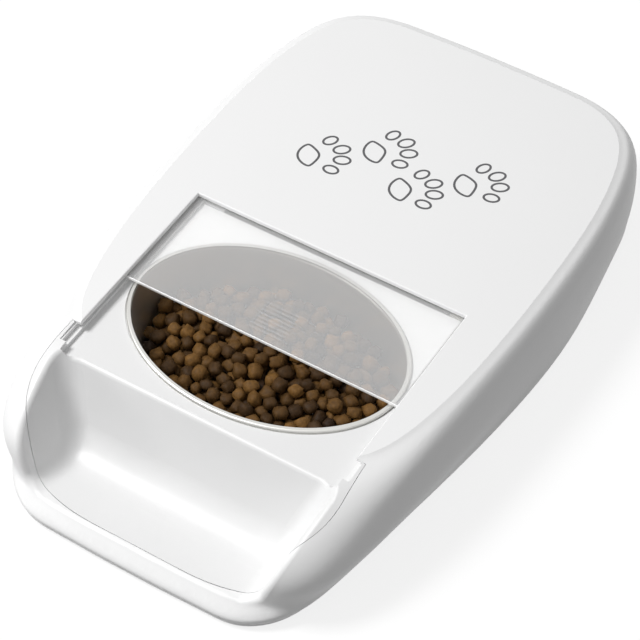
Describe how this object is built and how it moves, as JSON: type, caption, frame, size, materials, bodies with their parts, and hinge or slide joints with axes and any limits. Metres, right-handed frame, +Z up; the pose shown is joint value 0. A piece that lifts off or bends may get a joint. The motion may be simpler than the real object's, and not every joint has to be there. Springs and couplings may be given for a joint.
{
  "type": "microchip pet feeder",
  "caption": "Low covered pet food dish with an oval steel bowl, a front scoop and a frosted lid that a motor slides back over a rack and gears.",
  "frame": {"origin": "on the table surface, under the middle of the body's length and width", "axes": "+Z up; the front scoop faces -Y and the casing's rear wall faces +Y; +X to the right seen from the front"},
  "size_m": [0.2386, 0.3785, 0.062],
  "materials": {
    "white_shell": "moulded, fine satin texture",
    "white_tray": "moulded, fine satin texture",
    "grey_pan": "moulded, satin",
    "guide_plastic": "smooth low-friction plastic",
    "frosted_lid": "frosted clear sheet",
    "rack_plastic": "smooth",
    "magnet": "plated magnet",
    "black_part": "moulded",
    "gear_plastic": "natural acetal",
    "steel": "bright steel",
    "bowl_steel": "satin stainless",
    "gearbox_alloy": "die cast",
    "cap_plastic": "moulded",
    "rubber": "soft rubber",
    "cell_wrap": "printed sleeve, plain",
    "board_green": "solder mask",
    "button_plastic": "moulded",
    "lens": "clear, diffused",
    "copper": "enamelled copper winding"
  },
  "bodies": {
    "housing": {"antenna_coil": "copper", "base_pan": "grey_pan", "battery_cells": "cell_wrap", "battery_contacts": "steel", "battery_springs": "steel", "board_capacitors": "black_part", "board_chips": "black_part", "board_plugs": "gear_plastic", "board_screws": "steel", "bracket_screws": "steel", "button_board": "board_green", "button_board_screws": "steel", "buzzer": "black_part", "case_screws": "steel", "circuit_board": "board_green", "drive_bracket": "steel", "food_bowl": "bowl_steel", "gear_pins": "steel", "gearbox_case": "gearbox_alloy", "inner_tray": "white_tray", "lid_guide_left": "guide_plastic", "lid_guide_right": "guide_plastic", "lid_sensor_front": "black_part", "lid_sensor_rear": "black_part", "motor_can": "steel", "motor_end_cap": "cap_plastic", "motor_screws": "steel", "outer_casing": "white_shell", "retaining_clips": "steel", "rubber_feet": "rubber", "status_led": "lens", "status_lens": "lens", "tact_switches": "black_part", "tray_screws": "steel"},
    "lid": {"sliding_lid": "frosted_lid", "lid_rack": "rack_plastic", "lid_runner": "rack_plastic", "lid_magnet": "magnet"},
    "pinion": {"rack_pinion": "gear_plastic"},
    "wheel": {"reduction_gear": "gear_plastic"},
    "motor_rotor": {"motor_pinion": "gear_plastic", "motor_shaft": "steel"},
    "door": {"battery_door": "grey_pan"},
    "learn_key": {"learn_button": "button_plastic"},
    "lid_key": {"lid_button": "button_plastic"}
  },
  "joints": [
    {"name": "lid_slide", "type": "slide", "parent": "housing", "child": "lid", "axis": [0, 1, 0], "range_m": [-0.054, 0.067]},
    {"name": "pinion_spin", "type": "hinge", "parent": "housing", "child": "pinion", "pos_m": [0.077, 0.01, 0.04954], "axis": [1, 0, 0], "range_deg": [-645, 525]},
    {"name": "wheel_spin", "type": "hinge", "parent": "housing", "child": "wheel", "pos_m": [0.0745, 0.02529, 0.03604], "axis": [1, 0, 0], "range_deg": [-220, 275]},
    {"name": "motor_spin", "type": "hinge", "parent": "housing", "child": "motor_rotor", "pos_m": [0.0745, 0.04284, 0.03204], "axis": [1, 0, 0], "range_deg": [-1075, 865]},
    {"name": "battery_door_lift", "type": "slide", "parent": "housing", "child": "door", "axis": [0, 0, -1], "range_m": [0, 0.03]},
    {"name": "learn_press", "type": "slide", "parent": "housing", "child": "learn_key", "axis": [0, -1, 0], "range_m": [0, 0.001], "stiffness_N_per_m": 600},
    {"name": "lid_press", "type": "slide", "parent": "housing", "child": "lid_key", "axis": [0, -1, 0], "range_m": [0, 0.001], "stiffness_N_per_m": 600}
  ],
  "couplings": [
    {"joint": "pinion_spin", "follows": "lid_slide", "rad_per_m": -166.67},
    {"joint": "wheel_spin", "follows": "lid_slide", "rad_per_m": 69.444},
    {"joint": "motor_spin", "follows": "lid_slide", "rad_per_m": -277.78}
  ]
}
